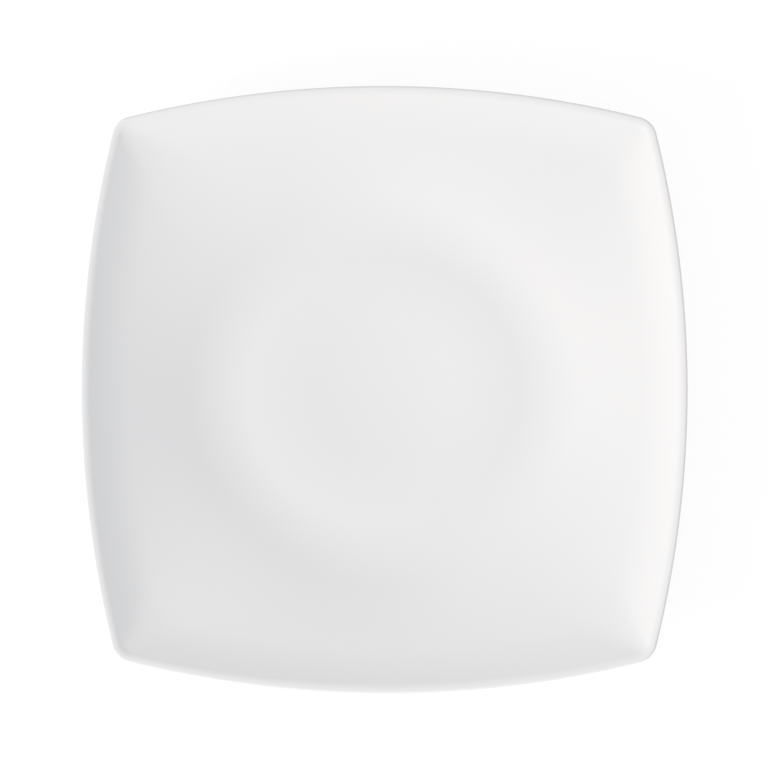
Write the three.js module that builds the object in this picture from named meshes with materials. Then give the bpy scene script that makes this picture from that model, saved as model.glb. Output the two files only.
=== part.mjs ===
// A dinner plate of pressed white opal glass: a round, shallow well in a square rim with bowed sides.
// It is one pressed piece. Units are millimetres and +Z is up. The origin is on the table, under the
// middle of the plate.
//
// One cross-section, cut through the middle of a side, holds every height and thickness. It is carried
// once round the axis along level lines: circles over the foot, and bowed squares with ever tighter
// corners towards the rim.

import * as THREE from "three";

// The rim, seen from above
const WIDTH = 265; // from the middle of one side to the middle of the opposite side
const SIDE_RADIUS = 465; // bow of each side
const CORNER_RADIUS = 10; // fillet between two sides

// The cross-section through the middle of a side
const SHEET = 3.8; // thickness of the glass from the well to the lip
const WELL_RADIUS = 60; // floor of the well, out to where it is level again
const DISH_ANGLE = 3.5; // degrees above level, where the dished floor is steepest
const DISH_TURN = 31; // from the axis to that place
const WELL_FILLET = 108; // upper face of the long curve from the floor to the wall
const WALL_ANGLE = 14; // degrees above level, on the straight stretch of the wall
const LIP_WIDTH = 19.5; // upturned band along the rim, out to the edge
const LIP_ANGLE = 24.5; // degrees above level, where the lip's crown starts
const CROWN_RADIUS = 8; // crown in which the lip's upper face turns level at the edge
const EDGE_ROUND = 1; // rounding of the two arrises of the rim's upright edge

// The foot ring
const FOOT_GAP = 0.5; // level underside between the floor's edge and the ring's root
const FOOT_FACE = 2.4; // width of the flat face that stands on the table
const FOOT_HEIGHT = 3.2; // from the table to the underside of the floor's edge
const FOOT_ROUND = 2.2; // rounding of the ring's edges, and of its roots

// Level lines between the round foot and the rim
const WALL_TOP_SIDE_RADIUS = 91; // where the well's curve ends, still nearly a circle
const WALL_TOP_CORNER_RADIUS = 60;
const LIP_START_SIDE_RADIUS = 320; // where the lip starts, more bowed than the rim
const LIP_START_CORNER_RADIUS = 30;

// Faceting
const SIDE_STEPS = 7; // along half a side
const CORNER_STEPS = 6; // round a corner's fillet
const DISH_STEPS = 3; // along each arc of the dished floor
const LONG_ARC_STEPS = 5; // along each long arc of the well's curve and the lip
const WALL_STEPS = 3; // along the straight wall
const EDGE_STEPS = 3; // across the crown, and round each arris of the rim's edge
const FOOT_STEPS = 3; // round each small arc of the foot

const QUARTER_TURN = Math.PI / 2;
const EIGHTH_TURN = Math.PI / 4;

/** A square with bowed sides and filleted corners, given by its half width and its two radii. */
class BowedSquare {
  constructor(half, sideRadius, cornerRadius) {
    this.sideRadius = sideRadius;
    this.cornerRadius = cornerRadius;
    this.sideCentre = half - sideRadius; // each side's arc is centred on the axis square to that side
    const reach = sideRadius - cornerRadius; // from that centre to the centre of the fillet, on the diagonal
    const offset = this.sideCentre * Math.SQRT1_2;
    this.cornerCentre = offset + Math.sqrt(reach ** 2 - offset ** 2);
    const corner = this.cornerCentre * Math.SQRT1_2;
    this.joinNormal = Math.atan2(corner, corner - this.sideCentre); // where the side's arc meets the fillet
    const join = this.pointAt(this.joinNormal);
    this.joinDirection = Math.atan2(join.y, join.x);
  }

  /** Point of the outline, in the first eighth turn, whose outward normal has this angle. */
  pointAt(normal) {
    const outward = new THREE.Vector2(Math.cos(normal), Math.sin(normal));
    if (normal <= this.joinNormal) {
      return outward.multiplyScalar(this.sideRadius).add(new THREE.Vector2(this.sideCentre, 0));
    }
    const corner = this.cornerCentre * Math.SQRT1_2;
    return outward.multiplyScalar(this.cornerRadius).add(new THREE.Vector2(corner, corner));
  }

  /** Distance from the axis to the outline in any direction. */
  radiusAt(direction) {
    const turn = THREE.MathUtils.euclideanModulo(direction + EIGHTH_TURN, QUARTER_TURN) - EIGHTH_TURN;
    const fromSide = Math.abs(turn);
    const onSide = fromSide <= this.joinDirection;
    const centre = onSide ? this.sideCentre : this.cornerCentre;
    const radius = onSide ? this.sideRadius : this.cornerRadius;
    const fromCentre = onSide ? fromSide : EIGHTH_TURN - fromSide;
    return centre * Math.cos(fromCentre) + Math.sqrt(radius ** 2 - (centre * Math.sin(fromCentre)) ** 2);
  }
}

/** Unit vector at an angle to the cross-section's outward axis. */
function heading(angle) {
  return new THREE.Vector2(Math.cos(angle), Math.sin(angle));
}

/** Point at a distance from a centre, along an angle. */
function around(centre, radius, angle) {
  return heading(angle).multiplyScalar(radius).add(centre);
}

/** Arc of the cross-section that bends to the left, from one angle about its centre to another. */
function leftBend(centre, radius, start, end) {
  return new THREE.EllipseCurve(centre.x, centre.y, radius, radius, start, end, false);
}

/** Arc of the cross-section that bends to the right. */
function rightBend(centre, radius, start, end) {
  return new THREE.EllipseCurve(centre.x, centre.y, radius, radius, start, end, true);
}

/** Angle from one point of the cross-section to another. */
function angleTo(from, to) {
  return Math.atan2(to.y - from.y, to.x - from.x);
}

// Places on the cross-section: x is the distance from the axis, y the height above the table
const half = WIDTH / 2;
const dishAngle = THREE.MathUtils.degToRad(DISH_ANGLE);
const wallAngle = THREE.MathUtils.degToRad(WALL_ANGLE);
const lipAngle = THREE.MathUtils.degToRad(LIP_ANGLE);
const dishNormal = dishAngle - QUARTER_TURN; // the underside's normals, which the arcs of both faces share
const wallNormal = wallAngle - QUARTER_TURN;
const lipNormal = lipAngle - QUARTER_TURN;
const floorTop = FOOT_HEIGHT + SHEET; // at the floor's edge

// The floor: a dish about the axis, and the shelf round it that turns level again
const dishBend = DISH_TURN / Math.sin(dishAngle);
const shelfBend = (WELL_RADIUS - DISH_TURN) / Math.sin(dishAngle);
const dishDepth = (dishBend + shelfBend) * (1 - Math.cos(dishAngle));
const dishCentre = new THREE.Vector2(0, floorTop - dishDepth + dishBend);
const shelfCentre = new THREE.Vector2(WELL_RADIUS, floorTop - shelfBend);

// The wall and the lip, whose crown ends at the rim's upright edge
const wellCentre = new THREE.Vector2(WELL_RADIUS, floorTop + WELL_FILLET);
const wallTop = around(wellCentre, WELL_FILLET, wallNormal);
const lipStartDistance = half - LIP_WIDTH;
const lipStart = new THREE.Vector2(
  lipStartDistance,
  wallTop.y + (lipStartDistance - wallTop.x) * Math.tan(wallAngle),
);
const edgeRoundDistance = half - EDGE_ROUND;
const lipEndDistance = edgeRoundDistance - CROWN_RADIUS * Math.sin(lipAngle);
const lipBend = (lipEndDistance - lipStartDistance) / (Math.sin(lipAngle) - Math.sin(wallAngle));
const lipCentre = around(lipStart, lipBend, wallNormal + Math.PI);
const underCrown = around(lipCentre, lipBend + SHEET, lipNormal);
const crownCentre = around(lipCentre, lipBend + CROWN_RADIUS, lipNormal);
const upperRound = new THREE.Vector2(edgeRoundDistance, crownCentre.y + CROWN_RADIUS - EDGE_ROUND);
const lowerRound = new THREE.Vector2(
  edgeRoundDistance,
  underCrown.y + (edgeRoundDistance - underCrown.x) * Math.tan(lipAngle) + EDGE_ROUND / Math.cos(lipAngle),
);

// The foot: a flat face between two rounded edges, with rounded roots inside and outside
const innerRoot = new THREE.Vector2(WELL_RADIUS + FOOT_GAP, FOOT_HEIGHT - FOOT_ROUND);
const innerFlankWidth = Math.sqrt((2 * FOOT_ROUND) ** 2 - (FOOT_ROUND - innerRoot.y) ** 2);
const innerEdge = new THREE.Vector2(innerRoot.x + innerFlankWidth, FOOT_ROUND);
const outerEdge = new THREE.Vector2(innerEdge.x + FOOT_FACE, FOOT_ROUND);
const outerRoot = tangentRootUnderCurve(outerEdge);
const footEnd = around(wellCentre, WELL_FILLET + SHEET, angleTo(wellCentre, outerRoot));

/** Centre of the root that joins the foot's outer edge to the underside of the well's curve. */
function tangentRootUnderCurve(edge) {
  const toCurve = WELL_FILLET + SHEET + FOOT_ROUND;
  const toEdge = 2 * FOOT_ROUND;
  const apart = wellCentre.distanceTo(edge);
  const along = (apart ** 2 + toCurve ** 2 - toEdge ** 2) / (2 * apart);
  const swing = Math.acos(along / toCurve);
  return around(wellCentre, toCurve, angleTo(wellCentre, edge) + swing);
}

/** Points of the cross-section, from the axis on top, round the rim's edge, to the axis underneath. */
function crossSection() {
  const underWall = around(wellCentre, WELL_FILLET + SHEET, wallNormal);
  const underLip = around(lipCentre, lipBend + SHEET, wallNormal);
  const floorMiddle = around(dishCentre, dishBend, -QUARTER_TURN);
  const edgeTop = around(upperRound, EDGE_ROUND, 0);
  const edgeBottom = around(lowerRound, EDGE_ROUND, 0);
  const underEdge = around(lowerRound, EDGE_ROUND, lipNormal);
  const underRoot = around(innerRoot, FOOT_ROUND, QUARTER_TURN);
  const underFloorEdge = new THREE.Vector2(WELL_RADIUS, FOOT_HEIGHT);
  const faceOutside = new THREE.Vector2(outerEdge.x, 0);
  const faceInside = new THREE.Vector2(innerEdge.x, 0);
  const outerFlank = angleTo(outerEdge, outerRoot);
  const innerFlank = angleTo(innerEdge, innerRoot);
  const footNormal = angleTo(wellCentre, footEnd);
  const stretches = [
    [leftBend(dishCentre, dishBend, -QUARTER_TURN, dishNormal), DISH_STEPS],
    [rightBend(shelfCentre, shelfBend, dishNormal + Math.PI, QUARTER_TURN), DISH_STEPS],
    [leftBend(wellCentre, WELL_FILLET, -QUARTER_TURN, wallNormal), LONG_ARC_STEPS],
    [new THREE.LineCurve(wallTop, lipStart), WALL_STEPS],
    [leftBend(lipCentre, lipBend, wallNormal, lipNormal), LONG_ARC_STEPS],
    [rightBend(crownCentre, CROWN_RADIUS, lipNormal + Math.PI, QUARTER_TURN), EDGE_STEPS],
    [rightBend(upperRound, EDGE_ROUND, QUARTER_TURN, 0), EDGE_STEPS],
    [new THREE.LineCurve(edgeTop, edgeBottom), 1],
    [rightBend(lowerRound, EDGE_ROUND, 0, lipNormal), EDGE_STEPS],
    [new THREE.LineCurve(underEdge, underCrown), 1],
    [rightBend(lipCentre, lipBend + SHEET, lipNormal, wallNormal), LONG_ARC_STEPS],
    [new THREE.LineCurve(underLip, underWall), WALL_STEPS],
    [rightBend(wellCentre, WELL_FILLET + SHEET, wallNormal, footNormal), LONG_ARC_STEPS],
    [leftBend(outerRoot, FOOT_ROUND, footNormal + Math.PI, outerFlank + Math.PI), FOOT_STEPS],
    [rightBend(outerEdge, FOOT_ROUND, outerFlank, -QUARTER_TURN), FOOT_STEPS],
    [new THREE.LineCurve(faceOutside, faceInside), 1],
    [rightBend(innerEdge, FOOT_ROUND, -QUARTER_TURN, innerFlank), FOOT_STEPS],
    [leftBend(innerRoot, FOOT_ROUND, innerFlank + Math.PI, QUARTER_TURN), FOOT_STEPS],
    [new THREE.LineCurve(underRoot, underFloorEdge), 1],
    [leftBend(shelfCentre, shelfBend - SHEET, QUARTER_TURN, dishNormal + Math.PI), DISH_STEPS],
    [rightBend(dishCentre, dishBend + SHEET, dishNormal, -QUARTER_TURN), DISH_STEPS],
  ];
  const points = [floorMiddle];
  for (const [curve, steps] of stretches) points.push(...curve.getPoints(steps).slice(1));
  return points;
}

const edgeInset = half - lipEndDistance;
const rim = new BowedSquare(half, SIDE_RADIUS, CORNER_RADIUS);

// Known level lines, from the circle round the foot to the line where the lip's crown starts.
// Between them, the ratios of the two radii to the half width follow smooth curves.
const knownLines = [
  { distance: footEnd.x, side: footEnd.x, corner: footEnd.x },
  { distance: wallTop.x, side: WALL_TOP_SIDE_RADIUS, corner: WALL_TOP_CORNER_RADIUS },
  { distance: lipStart.x, side: LIP_START_SIDE_RADIUS, corner: LIP_START_CORNER_RADIUS },
  { distance: lipEndDistance, side: SIDE_RADIUS - edgeInset, corner: CORNER_RADIUS - edgeInset },
];
const levelShares = new THREE.CubicInterpolant(
  knownLines.map((line) => line.distance),
  knownLines.flatMap((line) => [line.distance / line.side, line.corner / line.distance]),
  2,
);
levelShares.settings = { endingStart: THREE.ZeroSlopeEnding, endingEnd: THREE.ZeroCurvatureEnding };

/** Level line that passes the middle of a side at this distance from the axis. */
function levelLine(distance) {
  if (distance <= footEnd.x) return new BowedSquare(distance, distance, distance);
  if (distance >= lipEndDistance) {
    const inset = half - distance;
    return new BowedSquare(distance, SIDE_RADIUS - inset, CORNER_RADIUS - inset);
  }
  const [bow, corner] = levelShares.evaluate(distance);
  return new BowedSquare(distance, distance / bow, distance * corner);
}

/** Directions in which the rim has its vertices: even along each side, and round each corner's fillet. */
function rimDirections() {
  const eighth = [];
  for (let i = 0; i < SIDE_STEPS; i += 1) eighth.push((rim.joinNormal * i) / SIDE_STEPS);
  for (let i = 0; i < CORNER_STEPS / 2; i += 1) {
    eighth.push(THREE.MathUtils.lerp(rim.joinNormal, EIGHTH_TURN, (2 * i) / CORNER_STEPS));
  }
  const early = eighth.map((normal) => rim.pointAt(normal)).map((point) => Math.atan2(point.y, point.x));
  const late = early.slice(1).reverse().map((direction) => QUARTER_TURN - direction);
  const quarter = [...early, EIGHTH_TURN, ...late];
  return [0, 1, 2, 3].flatMap((turn) => quarter.map((direction) => direction + turn * QUARTER_TURN));
}

/** Closed surface that carries the cross-section once round the axis, along the level lines. */
function carryRound(section) {
  const directions = rimDirections();
  const count = directions.length;
  const rings = section.slice(1, -1);
  const positions = [0, 0, section[0].y];
  for (const point of rings) {
    const line = levelLine(point.x);
    const squareness = THREE.MathUtils.smoothstep(point.x, WELL_RADIUS, lipEndDistance);
    directions.forEach((direction, i) => {
      const even = (2 * Math.PI * i) / count;
      const angle = THREE.MathUtils.lerp(even, direction, squareness);
      const radius = line.radiusAt(angle);
      positions.push(radius * Math.cos(angle), radius * Math.sin(angle), point.y);
    });
  }
  positions.push(0, 0, section.at(-1).y);

  const lastVertex = positions.length / 3 - 1;
  const vertexAt = (ring, i) => 1 + ring * count + (i % count);
  const triangles = [];
  for (let i = 0; i < count; i += 1) {
    triangles.push(0, vertexAt(0, i), vertexAt(0, i + 1));
    for (let ring = 0; ring < rings.length - 1; ring += 1) {
      const inner = [vertexAt(ring, i), vertexAt(ring, i + 1)];
      const outer = [vertexAt(ring + 1, i), vertexAt(ring + 1, i + 1)];
      triangles.push(inner[0], outer[0], outer[1], inner[0], outer[1], inner[1]);
    }
    triangles.push(vertexAt(rings.length - 1, i), lastVertex, vertexAt(rings.length - 1, i + 1));
  }

  const geometry = new THREE.BufferGeometry();
  geometry.setAttribute("position", new THREE.Float32BufferAttribute(positions, 3));
  geometry.setIndex(triangles);
  geometry.computeVertexNormals();
  return geometry;
}

const opalGlass = new THREE.MeshStandardMaterial({ color: 0xebebec, roughness: 0.12, metalness: 0 });

const plate = new THREE.Mesh(carryRound(crossSection()), opalGlass);
plate.name = "plate";

const model = new THREE.Group();
model.add(plate);

export default model;
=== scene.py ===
"""Looks of a square dinner plate of pressed white opal glass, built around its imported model.

The plate's half section is drawn with straight stretches and arcs and spun round the axis. The spun plate
is then squared: each of its rings moves onto a level line, from circles over the foot to bowed squares at
the rim.
"""

from __future__ import annotations

import logging
import math
from dataclasses import dataclass, field
from enum import Enum

import bpy
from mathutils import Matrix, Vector

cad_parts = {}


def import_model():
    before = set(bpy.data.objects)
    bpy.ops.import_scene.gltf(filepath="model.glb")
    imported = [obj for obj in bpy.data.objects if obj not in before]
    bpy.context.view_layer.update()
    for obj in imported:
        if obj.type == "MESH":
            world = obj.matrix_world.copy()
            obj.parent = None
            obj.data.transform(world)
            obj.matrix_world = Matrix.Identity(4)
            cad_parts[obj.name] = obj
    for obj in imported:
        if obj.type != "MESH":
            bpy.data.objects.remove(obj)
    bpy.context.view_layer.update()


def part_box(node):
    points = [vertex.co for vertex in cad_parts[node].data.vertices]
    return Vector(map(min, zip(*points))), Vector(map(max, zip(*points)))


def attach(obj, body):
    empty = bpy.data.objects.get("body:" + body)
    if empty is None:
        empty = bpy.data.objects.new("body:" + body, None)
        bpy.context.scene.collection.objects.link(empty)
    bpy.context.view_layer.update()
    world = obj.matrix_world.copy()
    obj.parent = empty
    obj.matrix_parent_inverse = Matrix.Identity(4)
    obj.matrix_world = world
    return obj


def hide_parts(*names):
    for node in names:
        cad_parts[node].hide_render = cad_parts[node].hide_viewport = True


LOG = logging.getLogger("plate")

MM = 0.001  # in metres, the unit of the frame
WELD = 1e-6  # distance within which two vertices become one
EIGHTHS = 8  # of the outline, alike or mirrored
FULL_TURN = 2 * math.pi
QUARTER_TURN = FULL_TURN / 4
EIGHTH_TURN = FULL_TURN / EIGHTHS
DIAGONAL = math.sqrt(0.5)  # coordinates of a point at distance 1 along the diagonal

Colour = tuple[float, float, float]
Rgba = tuple[float, float, float, float]
Tree = bpy.types.NodeTree
Socket = bpy.types.NodeSocket


def lerp(start: float, end: float, share: float) -> float:
    """Value a share of the way from start to end."""
    return start + (end - start) * share


def smoothstep(value: float, low: float, high: float) -> float:
    """Ease from 0 at low to 1 at high."""
    share = min(1.0, max(0.0, (value - low) / (high - low)))
    return share * share * (3 - 2 * share)


def hermite(start: float, end: float, leave: float, arrive: float, share: float) -> float:
    """Value a share of the way along the cubic curve that has these ends and these slopes there."""
    lean = (1 - share) * leave - share * arrive
    return lerp(start, end, smoothstep(share, 0, 1)) + share * (1 - share) * lean


def heading_vector(heading: float) -> Vector:
    """Unit vector in the section's plane, at an angle above the outward axis."""
    return Vector((math.cos(heading), 0.0, math.sin(heading)))


def rgba(colour: Colour) -> Rgba:
    """Opaque version of a colour, as Blender's sockets take it."""
    return (*colour, 1.0)


def grey(level: float) -> Rgba:
    """Opaque grey, as Blender's sockets take it."""
    return rgba((level, level, level))


def larger(tree: Tree, first: Socket, second: Socket) -> Socket:
    """Add a node that picks the larger of two values.

    Args:
        tree: Node tree to add it to.
        first: Socket of one value.
        second: Socket of the other.

    Returns:
        Socket of the larger value.
    """
    node = tree.nodes.new("ShaderNodeMath")
    node.operation = "MAXIMUM"
    tree.links.new(first, node.inputs[0])
    tree.links.new(second, node.inputs[1])
    return node.outputs[0]


def seen_directly(tree: Tree) -> Socket:
    """Add the nodes that tell what is seen from what lights the plate.

    Args:
        tree: Node tree to add them to.

    Returns:
        Socket that is 1 for camera, glossy and transmission rays.
    """
    rays = tree.nodes.new("ShaderNodeLightPath").outputs
    either = larger(tree, rays["Is Camera Ray"], rays["Is Glossy Ray"])
    return larger(tree, either, rays["Is Transmission Ray"])


class Bend(Enum):
    """Side to which an arc of the section turns, along the direction of drawing."""

    LEFT = 1
    RIGHT = -1


class SectionPen:
    """Draws a half section in the plane of X and Z by extruding and spinning its last vertex."""

    POINT_SIZE = 1 * MM

    def __init__(self, name: str, height: float) -> None:
        """Start on the axis, heading outwards.

        Args:
            name: Name of the piece that the section becomes.
            height: Height of the first point above the table.
        """
        bpy.ops.object.select_all(action="DESELECT")
        bpy.ops.mesh.primitive_plane_add(size=self.POINT_SIZE, location=(0, 0, height))
        self.piece: bpy.types.Object = bpy.context.object
        self.piece.name = name
        self.piece.data.name = name
        bpy.ops.object.transform_apply(location=True, rotation=True, scale=True)
        bpy.ops.object.mode_set(mode="EDIT")
        bpy.ops.mesh.select_all(action="SELECT")
        bpy.ops.mesh.merge(type="CENTER")
        self.point = Vector((0, 0, height))
        self.heading = 0.0

    def line(self, length: float, steps: int = 1) -> None:
        """Draw straight on.

        Args:
            length: Length of the stretch.
            steps: Number of edges along it.
        """
        step = heading_vector(self.heading) * (length / steps)
        for _ in range(steps):
            bpy.ops.mesh.extrude_region_move(TRANSFORM_OT_translate={"value": step})
        self.point += step * steps

    def arc(self, bend: Bend, radius: float, angle: float, steps: int) -> None:
        """Draw an arc that leaves the last stretch smoothly.

        Args:
            bend: Side to which the arc turns.
            radius: Radius of the arc.
            angle: Angle through which it turns.
            steps: Number of edges along it.
        """
        turn = bend.value * angle
        centre = self.point + heading_vector(self.heading + bend.value * QUARTER_TURN) * radius
        bpy.ops.mesh.spin(steps=steps, angle=turn, center=centre, axis=(0, 1, 0))
        self.heading += turn
        self.point = centre - heading_vector(self.heading + bend.value * QUARTER_TURN) * radius

    def spin_round(self, stations: int) -> bpy.types.Object:
        """Spin the whole section once round the axis and close it.

        Args:
            stations: Number of copies of the section round the axis.

        Returns:
            The closed piece, in object mode.
        """
        bpy.ops.mesh.select_all(action="SELECT")
        bpy.ops.mesh.spin(steps=stations, angle=FULL_TURN, center=(0, 0, 0), axis=(0, 0, 1))
        bpy.ops.mesh.select_all(action="SELECT")
        bpy.ops.mesh.remove_doubles(threshold=WELD)
        bpy.ops.mesh.normals_make_consistent(inside=False)
        bpy.ops.object.mode_set(mode="OBJECT")
        return self.piece


class BowedSquare:
    """A square with bowed sides and filleted corners, centred on the axis."""

    def __init__(self, half: float, side_radius: float, corner_radius: float) -> None:
        """Work out the arcs.

        Args:
            half: Distance from the axis to the middle of a side.
            side_radius: Radius of each side's arc.
            corner_radius: Radius of each corner's fillet.
        """
        self.side_radius = side_radius
        self.corner_radius = corner_radius
        self.side_centre = half - side_radius
        reach = side_radius - corner_radius
        offset = self.side_centre * DIAGONAL
        self.corner_centre = offset + math.sqrt(reach**2 - offset**2)
        self.corner = self.corner_centre * DIAGONAL
        self.join_normal = math.atan2(self.corner, self.corner - self.side_centre)
        self.join_direction = self.direction_at(self.join_normal)

    def direction_at(self, normal: float) -> float:
        """Find where the outline's first eighth turn faces a given way.

        Args:
            normal: Direction of the outline's outward normal.

        Returns:
            Direction from the axis to that place.
        """
        on_side = normal <= self.join_normal
        centre = Vector((self.side_centre, 0.0)) if on_side else Vector((self.corner, self.corner))
        radius = self.side_radius if on_side else self.corner_radius
        point = centre + radius * Vector((math.cos(normal), math.sin(normal)))
        return math.atan2(point.y, point.x)

    def radius_at(self, direction: float) -> float:
        """Measure the outline.

        Args:
            direction: Any direction from the axis.

        Returns:
            Distance from the axis to the outline in that direction.
        """
        from_side = abs((direction + EIGHTH_TURN) % QUARTER_TURN - EIGHTH_TURN)
        on_side = from_side <= self.join_direction
        centre = self.side_centre if on_side else self.corner_centre
        radius = self.side_radius if on_side else self.corner_radius
        angle = from_side if on_side else EIGHTH_TURN - from_side
        return centre * math.cos(angle) + math.sqrt(radius**2 - (centre * math.sin(angle)) ** 2)


@dataclass(frozen=True)
class KnownLine:
    """A level line whose shape is set.

    Attributes:
        distance: Distance from the axis to the middle of a side.
        side_radius: Radius of each side's arc.
        corner_radius: Radius of each corner's fillet.
    """

    distance: float
    side_radius: float
    corner_radius: float

    @property
    def ratios(self) -> tuple[float, float]:
        """Half width over side radius, and corner radius over half width."""
        return self.distance / self.side_radius, self.corner_radius / self.distance


class LevelLines:
    """Level lines between known ones, whose ratios follow smooth curves."""

    def __init__(self, known: list[KnownLine]) -> None:
        """Work out the slopes of the curves, which start level.

        Args:
            known: Known lines, from the axis outwards.
        """
        self.distances = [line.distance for line in known]
        self.values = [line.ratios for line in known]
        steps = [self._span_slopes(index) for index in range(len(known) - 1)]
        self.slopes = [(0.0, 0.0)]
        for before, after in zip(steps, steps[1:]):
            self.slopes.append(tuple((a + b) / 2 for a, b in zip(before, after)))
        self.slopes.append(steps[-1])

    def _span_slopes(self, index: int) -> tuple[float, float]:
        """Straight slopes of both ratios between two neighbouring known lines."""
        width = self.distances[index + 1] - self.distances[index]
        return tuple((b - a) / width for a, b in zip(self.values[index], self.values[index + 1]))

    def at(self, distance: float) -> BowedSquare:
        """Draw the level line at a place between the known ones.

        Args:
            distance: Distance from the axis to the middle of a side.

        Returns:
            The level line that passes there.
        """
        index = max(i for i, start in enumerate(self.distances[:-1]) if start <= distance)
        width = self.distances[index + 1] - self.distances[index]
        share = (distance - self.distances[index]) / width
        ends = zip(self.values[index], self.values[index + 1])
        slopes = zip(self.slopes[index], self.slopes[index + 1])
        bow, corner = (
            hermite(start, end, leave * width, arrive * width, share)
            for (start, end), (leave, arrive) in zip(ends, slopes)
        )
        return BowedSquare(distance, distance / bow, distance * corner)


@dataclass(frozen=True)
class OpalGlass:
    """Finish of pressed and fire-polished opal glass.

    Attributes:
        colour: Milky white of the glass.
        thin_colour: White where the milk in the glass lies a little thinner.
        cloud_size: Size of the clouds in which the two whites mix.
        gloss: Roughness where the fire has polished best, and where it has least.
        ripple_size: Length of the soft ripples that pressing leaves in the surface.
        ripple_height: Height of those ripples.
        foot_grind: Roughness of the foot's ground face.
        foot_reach: Height above the table up to which the foot is ground.
    """

    colour: Colour = (0.800, 0.790, 0.795)
    thin_colour: Colour = (0.788, 0.784, 0.796)
    cloud_size: float = 45 * MM
    gloss: tuple[float, float] = (0.08, 0.16)
    ripple_size: float = 30 * MM
    ripple_height: float = 0.02 * MM
    foot_grind: float = 0.5
    foot_reach: float = 0.15 * MM

    IOR = 1.5
    CLOUD_DETAIL = 2.0
    CLOUD_ROUGHNESS = 0.4

    def clouds_group(self) -> Tree:
        """Build the node group of soft clouds.

        Returns:
            Group that takes a position and a size and puts out a mask from 0 to 1.
        """
        group = bpy.data.node_groups.new("soft_clouds", "ShaderNodeTree")
        group.interface.new_socket("Position", in_out="INPUT", socket_type="NodeSocketVector")
        group.interface.new_socket("Size", in_out="INPUT", socket_type="NodeSocketFloat")
        group.interface.new_socket("Mask", in_out="OUTPUT", socket_type="NodeSocketFloat")
        nodes, links = group.nodes, group.links
        entry = nodes.new("NodeGroupInput")
        leave = nodes.new("NodeGroupOutput")
        per_metre = nodes.new("ShaderNodeMath")
        per_metre.operation = "DIVIDE"
        per_metre.inputs[0].default_value = 1.0
        noise = nodes.new("ShaderNodeTexNoise")
        noise.inputs["Detail"].default_value = self.CLOUD_DETAIL
        noise.inputs["Roughness"].default_value = self.CLOUD_ROUGHNESS
        links.new(entry.outputs["Size"], per_metre.inputs[1])
        links.new(entry.outputs["Position"], noise.inputs["Vector"])
        links.new(per_metre.outputs[0], noise.inputs["Scale"])
        links.new(noise.outputs["Fac"], leave.inputs["Mask"])
        return group

    def material(self) -> bpy.types.Material:
        """Build the glass.

        Returns:
            Material with clouded colour, uneven gloss, soft ripples and a ground foot.
        """
        material = bpy.data.materials.new("opal_glass_finish")
        material.use_nodes = True
        tree = material.node_tree
        shader = tree.nodes["Principled BSDF"]
        shader.inputs["IOR"].default_value = self.IOR
        place = tree.nodes.new("ShaderNodeTexCoord").outputs["Object"]
        group = self.clouds_group()
        clouds = self.soft_mask(tree, group, place, self.cloud_size)
        ripples = self.soft_mask(tree, group, place, self.ripple_size)
        tree.links.new(self.milk(tree, clouds), shader.inputs["Base Color"])
        tree.links.new(self.polish(tree, clouds, place), shader.inputs["Roughness"])
        tree.links.new(self.pressing(tree, ripples), shader.inputs["Normal"])
        return material

    def soft_mask(self, tree: Tree, group: Tree, place: Socket, size: float) -> Socket:
        """Place the group of soft clouds in the glass.

        Args:
            tree: Node tree of the glass.
            group: Node group of the clouds.
            place: Position on the plate.
            size: Size of the clouds.

        Returns:
            Socket of their mask, from 0 to 1.
        """
        soft = tree.nodes.new("ShaderNodeGroup")
        soft.node_tree = group
        soft.inputs["Size"].default_value = size
        tree.links.new(place, soft.inputs["Position"])
        return soft.outputs["Mask"]

    def milk(self, tree: Tree, clouds: Socket) -> Socket:
        """Mix the two whites of the glass.

        Args:
            tree: Node tree of the glass.
            clouds: Mask of the clouds in which they mix.

        Returns:
            Socket of the glass's colour.
        """
        mix = tree.nodes.new("ShaderNodeMix")
        mix.data_type = "RGBA"
        mix.inputs["A"].default_value = rgba(self.colour)
        mix.inputs["B"].default_value = rgba(self.thin_colour)
        tree.links.new(clouds, mix.inputs["Factor"])
        return mix.outputs["Result"]

    def polish(self, tree: Tree, clouds: Socket, place: Socket) -> Socket:
        """Polish the glass by fire, and leave the foot's face as it was ground.

        Args:
            tree: Node tree of the glass.
            clouds: Mask of where the fire has polished least.
            place: Position on the plate.

        Returns:
            Socket of the glass's roughness.
        """
        fire = tree.nodes.new("ShaderNodeMapRange")
        fire.inputs["To Min"].default_value, fire.inputs["To Max"].default_value = self.gloss
        tree.links.new(clouds, fire.inputs["Value"])
        axes = tree.nodes.new("ShaderNodeSeparateXYZ")
        tree.links.new(place, axes.inputs["Vector"])
        ground = tree.nodes.new("ShaderNodeMapRange")
        ground.inputs["From Max"].default_value = self.foot_reach
        ground.inputs["To Min"].default_value = self.foot_grind
        ground.inputs["To Max"].default_value = 0.0
        tree.links.new(axes.outputs["Z"], ground.inputs["Value"])
        return larger(tree, fire.outputs["Result"], ground.outputs["Result"])

    def pressing(self, tree: Tree, ripples: Socket) -> Socket:
        """Raise the soft ripples that pressing leaves.

        Args:
            tree: Node tree of the glass.
            ripples: Height of the ripples, from 0 to 1.

        Returns:
            Socket of the rippled surface's normal.
        """
        bump = tree.nodes.new("ShaderNodeBump")
        bump.inputs["Distance"].default_value = self.ripple_height
        tree.links.new(ripples, bump.inputs["Height"])
        return bump.outputs["Normal"]


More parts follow.
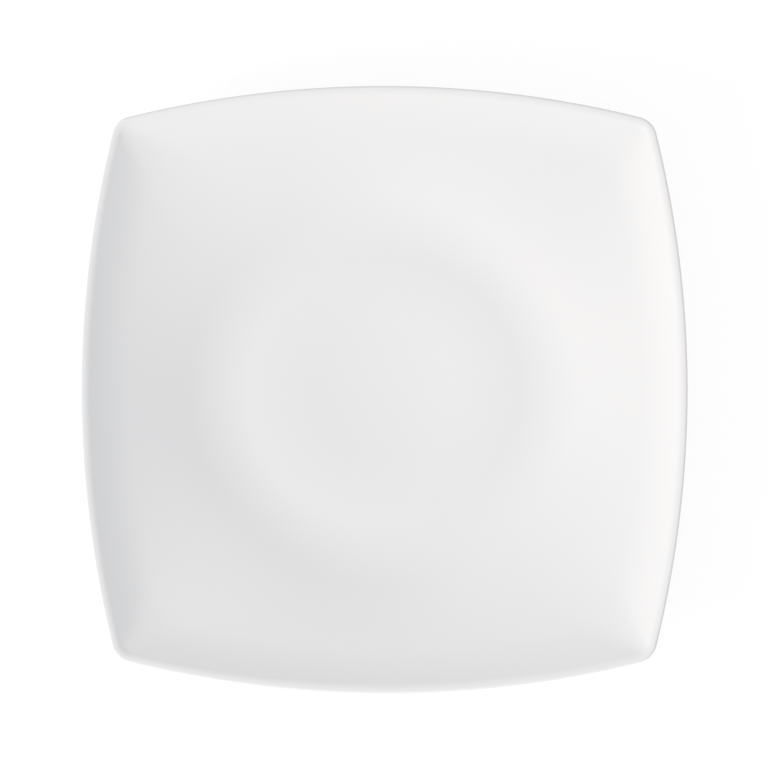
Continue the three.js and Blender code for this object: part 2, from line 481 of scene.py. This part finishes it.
@dataclass
class Plate:
    """The plate: one pressed piece with a round well, a wall, an upturned lip and a foot ring.

    Attributes:
        width: Distance between the middles of opposite sides.
        side_radius: Bow of each side of the rim.
        corner_radius: Fillet between two sides of the rim.
        sheet: Thickness of the glass.
        well_radius: Radius of the floor, out to where it is level again.
        dish_angle: Angle of the dished floor above level where it is steepest.
        dish_turn: Distance from the axis to that place.
        well_fillet: Upper radius of the long curve from the floor to the wall.
        wall_angle: Angle of the straight wall above level.
        lip_width: Width of the upturned lip, out to the edge.
        lip_angle: Angle of the lip above level where its crown starts.
        crown_radius: Radius of the crown, in which the lip's upper face turns level at the edge.
        edge_round: Rounding of the two arrises of the rim's upright edge.
        foot_gap: Width of the level underside between the floor's edge and the foot's root.
        foot_face: Width of the foot's flat face.
        foot_height: Height of the foot under the floor's edge.
        foot_round: Rounding of the foot's edges and roots.
        wall_top: Side radius and corner radius of the level line where the well's curve ends.
        lip_start: Side radius and corner radius of the level line where the lip starts.
        side_steps: Edges along half a side of the rim.
        corner_steps: Edges round half a corner's fillet.
        long_steps: Edges along each long stretch of the section.
        edge_steps: Edges across the crown, and round each arris of the rim's edge.
        foot_steps: Edges round each small arc of the foot.
        finish: Finish of the glass.
    """

    width: float
    side_radius: float = 465 * MM
    corner_radius: float = 10 * MM
    sheet: float = 3.8 * MM
    well_radius: float = 60 * MM
    dish_angle: float = math.radians(3.5)
    dish_turn: float = 31 * MM
    well_fillet: float = 108 * MM
    wall_angle: float = math.radians(14)
    lip_width: float = 19.5 * MM
    lip_angle: float = math.radians(24.5)
    crown_radius: float = 8 * MM
    edge_round: float = 1 * MM
    foot_gap: float = 0.5 * MM
    foot_face: float = 2.4 * MM
    foot_height: float = 3.2 * MM
    foot_round: float = 2.2 * MM
    wall_top: tuple[float, float] = (91 * MM, 60 * MM)
    lip_start: tuple[float, float] = (320 * MM, 30 * MM)
    side_steps: int = 24
    corner_steps: int = 6
    long_steps: int = 14
    edge_steps: int = 10
    foot_steps: int = 6
    finish: OpalGlass = field(default_factory=OpalGlass)

    NODE = "plate"
    BODY = "root"
    SLOT = "opal_glass"

    def __post_init__(self) -> None:
        """Work out the places that the section and the level lines share."""
        self.half = self.width / 2
        self.dish_bend = self.dish_turn / math.sin(self.dish_angle)
        self.shelf_bend = (self.well_radius - self.dish_turn) / math.sin(self.dish_angle)
        self.wall_top_distance = self.well_radius + self.well_fillet * math.sin(self.wall_angle)
        self.lip_start_distance = self.half - self.lip_width
        self.lip_end_distance = self.half - self.edge_round - self.crown_radius * math.sin(self.lip_angle)
        self.inner_flank = math.acos(1 - self.foot_height / (2 * self.foot_round))
        foot_root_width = 2 * self.foot_round * math.sin(self.inner_flank)
        self.foot_outside = self.well_radius + self.foot_gap + foot_root_width + self.foot_face
        self.under_fillet = self.well_fillet + self.sheet
        self.foot_angle, self.outer_flank = self._outer_flank()
        self.foot_end_distance = self.well_radius + self.under_fillet * math.sin(self.foot_angle)
        self.rim = BowedSquare(self.half, self.side_radius, self.corner_radius)
        inset = self.half - self.lip_end_distance
        round_line = KnownLine(self.foot_end_distance, self.foot_end_distance, self.foot_end_distance)
        self.levels = LevelLines(
            [
                round_line,
                KnownLine(self.wall_top_distance, *self.wall_top),
                KnownLine(self.lip_start_distance, *self.lip_start),
                KnownLine(self.lip_end_distance, self.side_radius - inset, self.corner_radius - inset),
            ]
        )

    def _outer_flank(self) -> tuple[float, float]:
        """Work out the foot's outer flank, which is tangent to the underside and to the foot's edge.

        Returns:
            Angle of the underside above level where the flank leaves it, and steepest angle of the flank.
        """
        above_foot = self.under_fillet + self.foot_height - self.foot_round
        edge = Vector((self.foot_outside - self.well_radius, -above_foot))
        to_root = self.under_fillet + self.foot_round
        to_edge = 2 * self.foot_round
        along = (edge.length_squared + to_root**2 - to_edge**2) / (2 * edge.length)
        swing = math.acos(along / to_root)
        root_angle = math.atan2(edge.y, edge.x) + swing
        root = to_root * Vector((math.cos(root_angle), math.sin(root_angle)))
        flank = math.atan2(root.x - edge.x, edge.y - root.y)
        return root_angle + QUARTER_TURN, flank

    def draw_section(self) -> SectionPen:
        """Draw the half section, from the axis on top, round the rim's edge, to the axis underneath.

        Returns:
            Pen that holds the drawn section.
        """
        lip_turn = self.lip_angle - self.wall_angle
        lip_bend = (self.lip_end_distance - self.lip_start_distance) / (
            math.sin(self.lip_angle) - math.sin(self.wall_angle)
        )
        wall_length = (self.lip_start_distance - self.wall_top_distance) / math.cos(self.wall_angle)
        crown_drop = self.crown_radius * (1 - math.cos(self.lip_angle))
        rounds = self.edge_round * (1 + math.cos(self.lip_angle))
        edge_face = (self.sheet - crown_drop - rounds) / math.cos(self.lip_angle)
        under_crown = (self.crown_radius - self.edge_round - edge_face) * math.sin(self.lip_angle)
        dish_depth = (self.dish_bend + self.shelf_bend) * (1 - math.cos(self.dish_angle))
        pen = SectionPen("plate_opal_glass", self.foot_height + self.sheet - dish_depth)
        pen.arc(Bend.LEFT, self.dish_bend, self.dish_angle, self.long_steps)
        pen.arc(Bend.RIGHT, self.shelf_bend, self.dish_angle, self.long_steps)
        pen.arc(Bend.LEFT, self.well_fillet, self.wall_angle, self.long_steps)
        pen.line(wall_length, self.long_steps)
        pen.arc(Bend.LEFT, lip_bend, lip_turn, self.long_steps)
        pen.arc(Bend.RIGHT, self.crown_radius, self.lip_angle, self.edge_steps)
        pen.arc(Bend.RIGHT, self.edge_round, QUARTER_TURN, self.edge_steps)
        pen.line(edge_face)
        pen.arc(Bend.RIGHT, self.edge_round, QUARTER_TURN - self.lip_angle, self.edge_steps)
        pen.line(under_crown)
        pen.arc(Bend.RIGHT, lip_bend + self.sheet, lip_turn, self.long_steps)
        pen.line(wall_length, self.long_steps)
        under_turn = self.wall_angle - self.foot_angle
        pen.arc(Bend.RIGHT, self.under_fillet, under_turn, self.long_steps)
        pen.arc(Bend.LEFT, self.foot_round, self.outer_flank - self.foot_angle, self.foot_steps)
        pen.arc(Bend.RIGHT, self.foot_round, self.outer_flank, self.foot_steps)
        pen.line(self.foot_face)
        pen.arc(Bend.RIGHT, self.foot_round, self.inner_flank, self.foot_steps)
        pen.arc(Bend.LEFT, self.foot_round, self.inner_flank, self.foot_steps)
        pen.line(self.foot_gap)
        pen.arc(Bend.LEFT, self.shelf_bend - self.sheet, self.dish_angle, self.long_steps)
        pen.arc(Bend.RIGHT, self.dish_bend + self.sheet, self.dish_angle, self.long_steps)
        return pen

    def rim_direction(self, even: float) -> float:
        """Find the direction in which a vertex of the rim goes.

        Args:
            even: Direction of the vertex when all are evenly spaced.

        Returns:
            Its direction when the vertices are spread along the sides and round the fillets.
        """
        quarter, turn = divmod(even, QUARTER_TURN)
        share = min(turn, QUARTER_TURN - turn) / EIGHTH_TURN
        side_share = self.side_steps / (self.side_steps + self.corner_steps)
        if share <= side_share:
            normal = self.rim.join_normal * share / side_share
        else:
            normal = lerp(self.rim.join_normal, EIGHTH_TURN, (share - side_share) / (1 - side_share))
        direction = self.rim.direction_at(normal)
        return quarter * QUARTER_TURN + (direction if turn <= EIGHTH_TURN else QUARTER_TURN - direction)

    def level_line(self, distance: float) -> BowedSquare:
        """Draw the level line at a place on the section.

        Args:
            distance: Distance from the axis to the middle of a side.

        Returns:
            The level line that passes there.
        """
        if distance <= self.foot_end_distance:
            return BowedSquare(distance, distance, distance)
        if distance >= self.lip_end_distance:
            inset = self.half - distance
            return BowedSquare(distance, self.side_radius - inset, self.corner_radius - inset)
        return self.levels.at(distance)

    def square_up(self, piece: bpy.types.Object) -> None:
        """Move every ring of the spun plate onto its level line.

        Args:
            piece: The spun plate.
        """
        for vertex in piece.data.vertices:
            distance = math.hypot(vertex.co.x, vertex.co.y)
            if distance <= self.well_radius:
                continue
            even = math.atan2(vertex.co.y, vertex.co.x) % FULL_TURN
            squareness = smoothstep(distance, self.well_radius, self.lip_end_distance)
            direction = lerp(even, self.rim_direction(even), squareness)
            radius = self.level_line(distance).radius_at(direction)
            vertex.co.x = radius * math.cos(direction)
            vertex.co.y = radius * math.sin(direction)
        piece.data.update()

    def build(self) -> bpy.types.Object:
        """Model the plate and put it in the place of its CAD solid.

        Returns:
            The finished piece.
        """
        stations = EIGHTHS * (self.side_steps + self.corner_steps)
        piece = self.draw_section().spin_round(stations)
        self.square_up(piece)
        bpy.ops.object.shade_smooth()
        self.dress(piece)
        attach(piece, self.BODY)
        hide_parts(self.NODE)
        return piece

    def dress(self, piece: bpy.types.Object) -> None:
        """Give the plate its glass."""
        piece.data.materials.clear()
        piece.data.materials.append(self.finish.material())


@dataclass(frozen=True)
class PaleFloor:
    """White tabletop, whose shadows stay faint.

    Attributes:
        bounce: Grey of the floor for the light that it throws back onto the plate.
        shade: Grey of the part of its look that shadows darken.
        glow: Brightness of the part of its look that they leave alone.
    """

    bounce: float = 0.9
    shade: float = 0.12
    glow: float = 0.9

    def material(self) -> bpy.types.Material:
        """Build the floor's material.

        Returns:
            Material that is white to the camera and in reflections, and see-through from below.
        """
        material = bpy.data.materials.new("pale_floor")
        material.use_nodes = True
        nodes, links = material.node_tree.nodes, material.node_tree.links
        nodes.clear()
        bounce = nodes.new("ShaderNodeBsdfDiffuse")
        bounce.inputs["Color"].default_value = grey(self.bounce)
        shade = nodes.new("ShaderNodeBsdfDiffuse")
        shade.inputs["Color"].default_value = grey(self.shade)
        glow = nodes.new("ShaderNodeEmission")
        glow.inputs["Strength"].default_value = self.glow
        look = nodes.new("ShaderNodeAddShader")
        links.new(shade.outputs[0], look.inputs[0])
        links.new(glow.outputs[0], look.inputs[1])
        top = nodes.new("ShaderNodeMixShader")
        links.new(seen_directly(material.node_tree), top.inputs["Fac"])
        links.new(bounce.outputs[0], top.inputs[1])
        links.new(look.outputs[0], top.inputs[2])
        clear = nodes.new("ShaderNodeBsdfTransparent")
        facing = nodes.new("ShaderNodeNewGeometry")
        both = nodes.new("ShaderNodeMixShader")
        links.new(facing.outputs["Backfacing"], both.inputs["Fac"])
        links.new(top.outputs[0], both.inputs[1])
        links.new(clear.outputs[0], both.inputs[2])
        output = nodes.new("ShaderNodeOutputMaterial")
        links.new(both.outputs[0], output.inputs["Surface"])
        return material


@dataclass
class Studio:
    """Floor, soft light and camera round the plate.

    Attributes:
        centre: Middle of the plate at the height of its rim.
        view_width: Width of the photograph at the height of the rim.
        view_distance: Distance of the camera from the rim.
        view_offset: Place of the camera's axis beside the middle of the plate.
        floor_size: Width of the floor.
        floor_drop: Gap between the floor and the foot, so that the two faces don't flicker.
        key_direction: Direction to the middle of the softbox.
        key_distance: Distance of the softbox.
        key_size: Width of the softbox.
        key_irradiance: Light of the softbox on a face turned to it.
        key_colour: Tint of the softbox.
        fill: Brightness of the even light from all round.
        fill_colour: Tint of that light.
        floor: Finish of the floor.
    """

    centre: Vector
    view_width: float = 334.7 * MM
    view_distance: float = 1200 * MM
    view_offset: tuple[float, float] = (0.05 * MM, 2.5 * MM)
    floor_size: float = 40.0
    floor_drop: float = 0.05 * MM
    key_direction: tuple[float, float, float] = (-0.826, -0.421, 0.375)
    key_distance: float = 5.0
    key_size: float = 1.2
    key_irradiance: float = 2.28
    key_colour: Colour = (1.0, 0.952, 0.889)
    fill: float = 0.79
    fill_colour: Colour = (0.969, 0.988, 1.0)
    floor: PaleFloor = field(default_factory=PaleFloor)

    def build(self) -> None:
        """Set up the whole studio."""
        self.lay_floor()
        self.hang_softbox()
        self.fill_world()
        self.place_camera()
        bpy.context.scene.view_settings.view_transform = "Standard"

    def lay_floor(self) -> None:
        """Lay the floor under the foot."""
        bpy.ops.object.select_all(action="DESELECT")
        bpy.ops.mesh.primitive_plane_add(size=self.floor_size, location=(0, 0, -self.floor_drop))
        floor = bpy.context.object
        floor.name = "floor"
        floor.data.materials.append(self.floor.material())

    def hang_softbox(self) -> None:
        """Hang the softbox that lights the plate from one side, without its white image in the glass."""
        lamp = bpy.data.lights.new("softbox", "AREA")
        lamp.shape = "SQUARE"
        lamp.size = self.key_size
        lamp.color = self.key_colour
        lamp.energy = self.key_irradiance * math.pi * self.key_distance**2
        softbox = bpy.data.objects.new("softbox", lamp)
        direction = Vector(self.key_direction).normalized()
        softbox.location = self.centre + direction * self.key_distance
        softbox.rotation_euler = direction.to_track_quat("Z", "Y").to_euler()
        softbox.visible_glossy = False
        bpy.context.scene.collection.objects.link(softbox)

    def fill_world(self) -> None:
        """Fill the room with even light, white where it is seen."""
        world = bpy.data.worlds.new("pale_room")
        world.use_nodes = True
        nodes, links = world.node_tree.nodes, world.node_tree.links
        nodes.clear()
        light = nodes.new("ShaderNodeBackground")
        light.inputs["Color"].default_value = rgba(self.fill_colour)
        light.inputs["Strength"].default_value = self.fill
        white = nodes.new("ShaderNodeBackground")
        white.inputs["Color"].default_value = grey(1.0)
        mix = nodes.new("ShaderNodeMixShader")
        links.new(seen_directly(world.node_tree), mix.inputs["Fac"])
        links.new(light.outputs[0], mix.inputs[1])
        links.new(white.outputs[0], mix.inputs[2])
        output = nodes.new("ShaderNodeOutputWorld")
        links.new(mix.outputs[0], output.inputs["Surface"])
        bpy.context.scene.world = world

    def place_camera(self) -> None:
        """Hang the camera straight above the plate, as in the photograph."""
        lens = bpy.data.cameras.new("camera")
        lens.lens = lens.sensor_width * self.view_distance / self.view_width
        camera = bpy.data.objects.new("camera", lens)
        camera.location = self.centre + Vector((*self.view_offset, self.view_distance))
        bpy.context.scene.collection.objects.link(camera)
        bpy.context.scene.camera = camera


def main() -> None:
    """Build the plate and its studio."""
    logging.basicConfig(level=logging.INFO, format="%(message)s")
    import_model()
    low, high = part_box(Plate.NODE)
    plate = Plate(width=high.x - low.x).build()
    LOG.info("%s: %d faces", plate.name, len(plate.data.polygons))
    middle = (low + high) / 2
    Studio(centre=Vector((middle.x, middle.y, high.z))).build()
    LOG.info("studio: floor, softbox, even light and camera")


if __name__ == "__main__":
    main()
